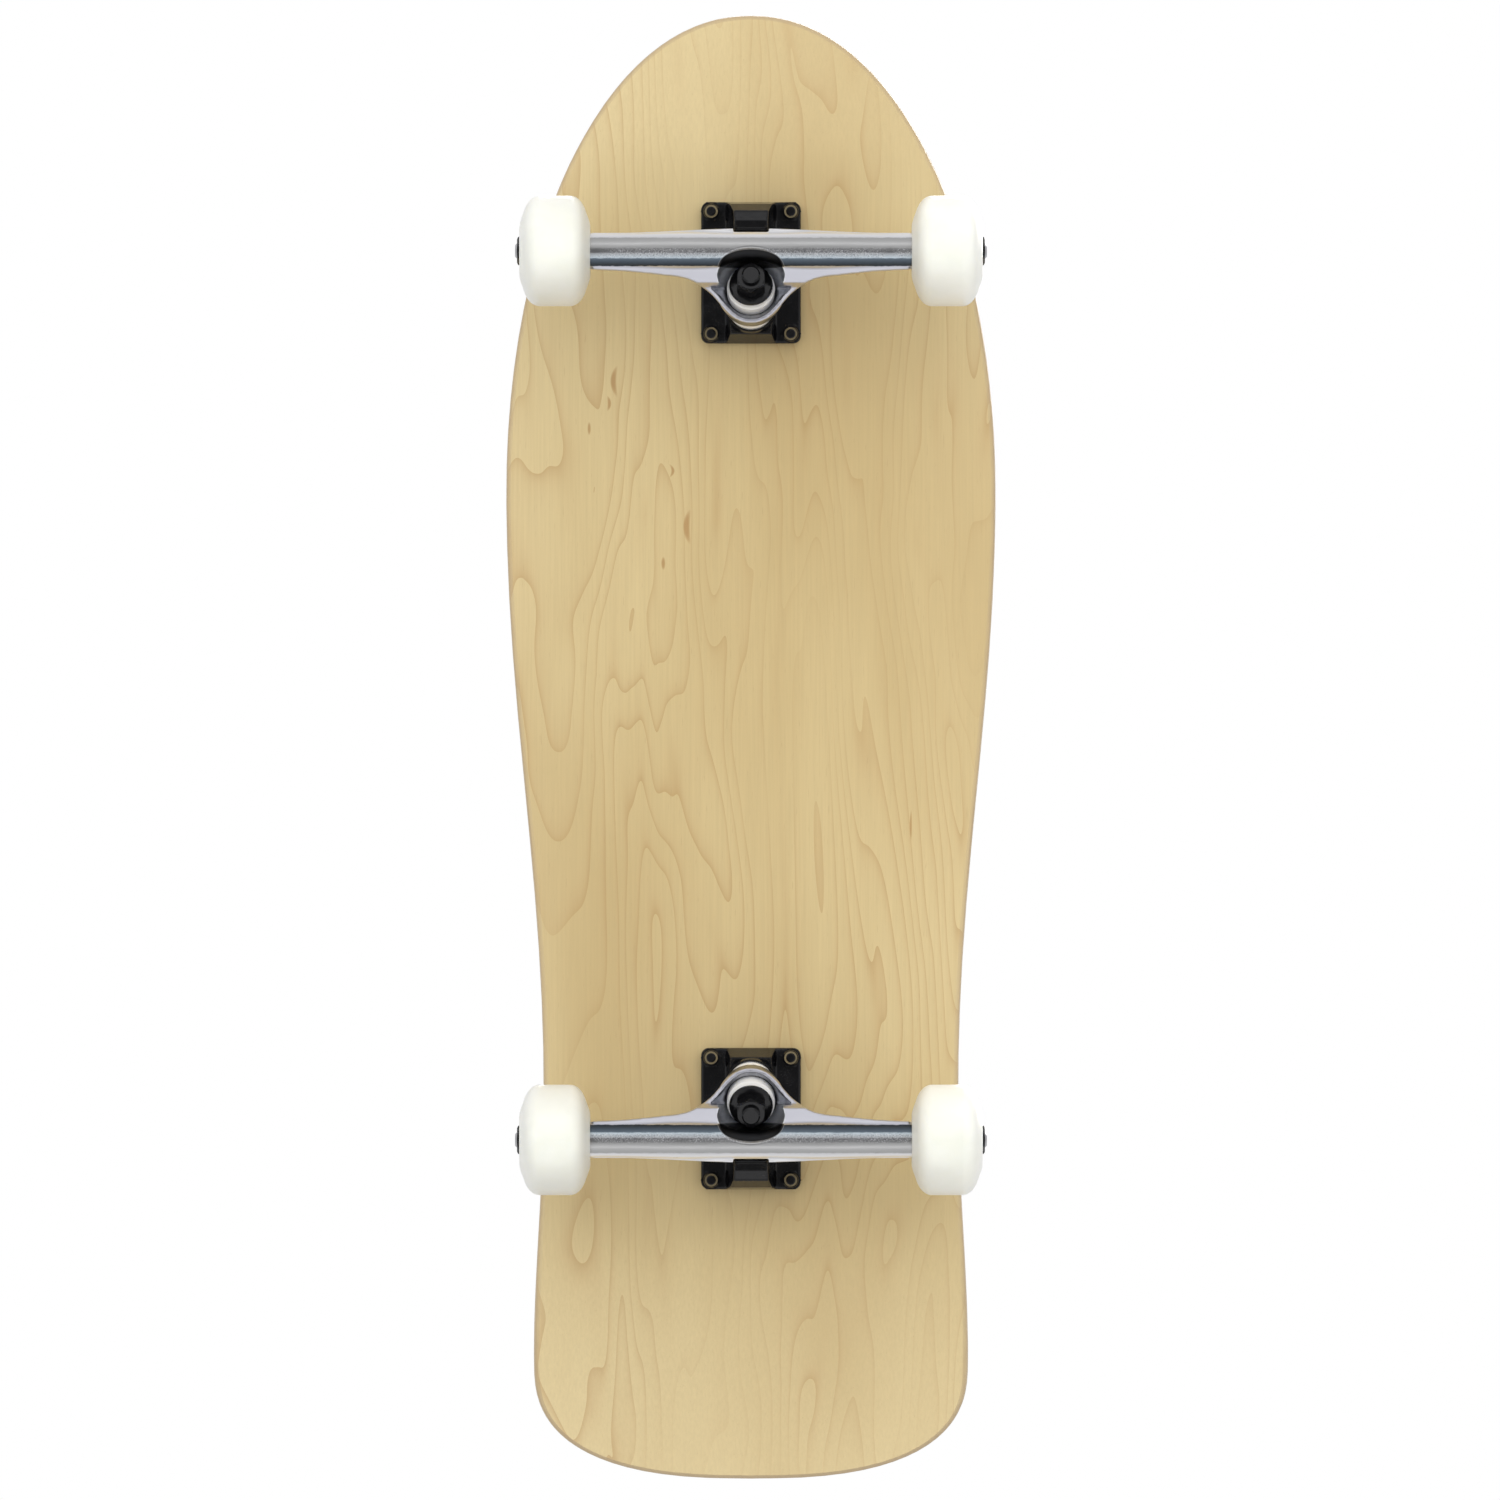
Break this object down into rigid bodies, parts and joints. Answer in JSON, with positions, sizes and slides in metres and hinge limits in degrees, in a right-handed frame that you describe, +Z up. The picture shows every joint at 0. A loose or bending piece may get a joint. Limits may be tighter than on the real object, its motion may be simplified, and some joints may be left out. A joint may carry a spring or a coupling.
{
  "type": "skateboard",
  "caption": "Complete old-school shaped skateboard: natural laminated maple deck with upturned nose and tail, polished trucks on black baseplates and white urethane wheels.",
  "frame": {"origin": "centre of the bounding box on the ground plane, under the middle of the deck", "axes": "+Z up with the wheels on Z = 0, -Y towards the nose, +Y towards the tail, +X to the rider's left when facing the nose"},
  "size_m": [0.2544, 0.7624, 0.1367],
  "materials": {
    "maple_face": "clear satin lacquer over pale rotary-cut maple",
    "maple_core": "maple veneer, seen on edge",
    "maple_cross": "cross-grain maple veneer, seen on edge",
    "grip": "black silicon carbide grit",
    "black_coat": "gloss black coat",
    "cast_alloy": "cast, tumbled and polished",
    "axle_steel": "turned and zinc plated",
    "zinc_steel": "bright zinc",
    "bearing_steel": "ground and polished",
    "cage_nylon": "natural nylon",
    "shield": "pressed sheet",
    "wheel_urethane": "smooth cast urethane, slightly translucent",
    "bushing_urethane": "smooth cast urethane",
    "pivot_urethane": "moulded urethane",
    "nylon": "tan nylon"
  },
  "bodies": {
    "board": {"deck_ply_1": "maple_face", "deck_ply_2": "maple_core", "deck_ply_3": "maple_cross", "deck_ply_4": "maple_core", "deck_ply_5": "maple_cross", "deck_ply_6": "maple_core", "deck_ply_7": "maple_face", "grip_tape": "grip", "front_baseplate": "black_coat", "front_kingpin": "black_coat", "front_kingpin_nut": "black_coat", "front_cup_washers": "black_coat", "front_road_bushing": "bushing_urethane", "front_board_bushing": "bushing_urethane", "front_pivot_cup": "pivot_urethane", "front_mount_bolts": "black_coat", "front_mount_nuts": "black_coat", "front_nut_inserts": "nylon", "rear_baseplate": "black_coat", "rear_kingpin": "black_coat", "rear_kingpin_nut": "black_coat", "rear_cup_washers": "black_coat", "rear_road_bushing": "bushing_urethane", "rear_board_bushing": "bushing_urethane", "rear_pivot_cup": "pivot_urethane", "rear_mount_bolts": "black_coat", "rear_mount_nuts": "black_coat", "rear_nut_inserts": "nylon"},
    "front_hanger": {"front_hanger": "cast_alloy", "front_axle": "axle_steel", "front_axle_nuts": "black_coat", "front_speed_washers": "zinc_steel", "front_bearing_spacers": "zinc_steel", "front_inner_races": "bearing_steel"},
    "front_left_wheel": {"front_left_wheel": "wheel_urethane", "front_left_outer_races": "bearing_steel", "front_left_shields": "shield"},
    "front_left_cages": {"front_left_balls": "bearing_steel", "front_left_cages": "cage_nylon"},
    "front_right_wheel": {"front_right_wheel": "wheel_urethane", "front_right_outer_races": "bearing_steel", "front_right_shields": "shield"},
    "front_right_cages": {"front_right_balls": "bearing_steel", "front_right_cages": "cage_nylon"},
    "rear_hanger": {"rear_hanger": "cast_alloy", "rear_axle": "axle_steel", "rear_axle_nuts": "black_coat", "rear_speed_washers": "zinc_steel", "rear_bearing_spacers": "zinc_steel", "rear_inner_races": "bearing_steel"},
    "rear_left_wheel": {"rear_left_wheel": "wheel_urethane", "rear_left_outer_races": "bearing_steel", "rear_left_shields": "shield"},
    "rear_left_cages": {"rear_left_balls": "bearing_steel", "rear_left_cages": "cage_nylon"},
    "rear_right_wheel": {"rear_right_wheel": "wheel_urethane", "rear_right_outer_races": "bearing_steel", "rear_right_shields": "shield"},
    "rear_right_cages": {"rear_right_balls": "bearing_steel", "rear_right_cages": "cage_nylon"}
  },
  "joints": [
    {"name": "front_steer", "type": "hinge", "parent": "board", "child": "front_hanger", "pos_m": [0, -0.23384, 0.05098], "axis": [0, 0.9272, -0.3746], "range_deg": [-12, 12], "stiffness_Nm_per_rad": 50, "deforming": ["front_road_bushing", "front_board_bushing"]},
    {"name": "front_left_spin", "type": "hinge", "parent": "front_hanger", "child": "front_left_wheel", "pos_m": [0.10115, -0.2565, 0.0285], "axis": [1, 0, 0], "continuous": true},
    {"name": "front_left_cage_spin", "type": "hinge", "parent": "front_hanger", "child": "front_left_cages", "pos_m": [0.10115, -0.2565, 0.0285], "axis": [1, 0, 0], "continuous": true},
    {"name": "front_right_spin", "type": "hinge", "parent": "front_hanger", "child": "front_right_wheel", "pos_m": [-0.10115, -0.2565, 0.0285], "axis": [1, 0, 0], "continuous": true},
    {"name": "front_right_cage_spin", "type": "hinge", "parent": "front_hanger", "child": "front_right_cages", "pos_m": [-0.10115, -0.2565, 0.0285], "axis": [1, 0, 0], "continuous": true},
    {"name": "rear_steer", "type": "hinge", "parent": "board", "child": "rear_hanger", "pos_m": [0, 0.17934, 0.05098], "axis": [0, 0.9272, 0.3746], "range_deg": [-12, 12], "stiffness_Nm_per_rad": 50, "deforming": ["rear_road_bushing", "rear_board_bushing"]},
    {"name": "rear_left_spin", "type": "hinge", "parent": "rear_hanger", "child": "rear_left_wheel", "pos_m": [0.10115, 0.202, 0.0285], "axis": [1, 0, 0], "continuous": true},
    {"name": "rear_left_cage_spin", "type": "hinge", "parent": "rear_hanger", "child": "rear_left_cages", "pos_m": [0.10115, 0.202, 0.0285], "axis": [1, 0, 0], "continuous": true},
    {"name": "rear_right_spin", "type": "hinge", "parent": "rear_hanger", "child": "rear_right_wheel", "pos_m": [-0.10115, 0.202, 0.0285], "axis": [1, 0, 0], "continuous": true},
    {"name": "rear_right_cage_spin", "type": "hinge", "parent": "rear_hanger", "child": "rear_right_cages", "pos_m": [-0.10115, 0.202, 0.0285], "axis": [1, 0, 0], "continuous": true}
  ],
  "couplings": [
    {"joint": "front_left_cage_spin", "follows": "front_left_spin", "ratio": 0.632},
    {"joint": "front_right_cage_spin", "follows": "front_right_spin", "ratio": 0.632},
    {"joint": "rear_left_cage_spin", "follows": "rear_left_spin", "ratio": 0.632},
    {"joint": "rear_right_cage_spin", "follows": "rear_right_spin", "ratio": 0.632}
  ]
}
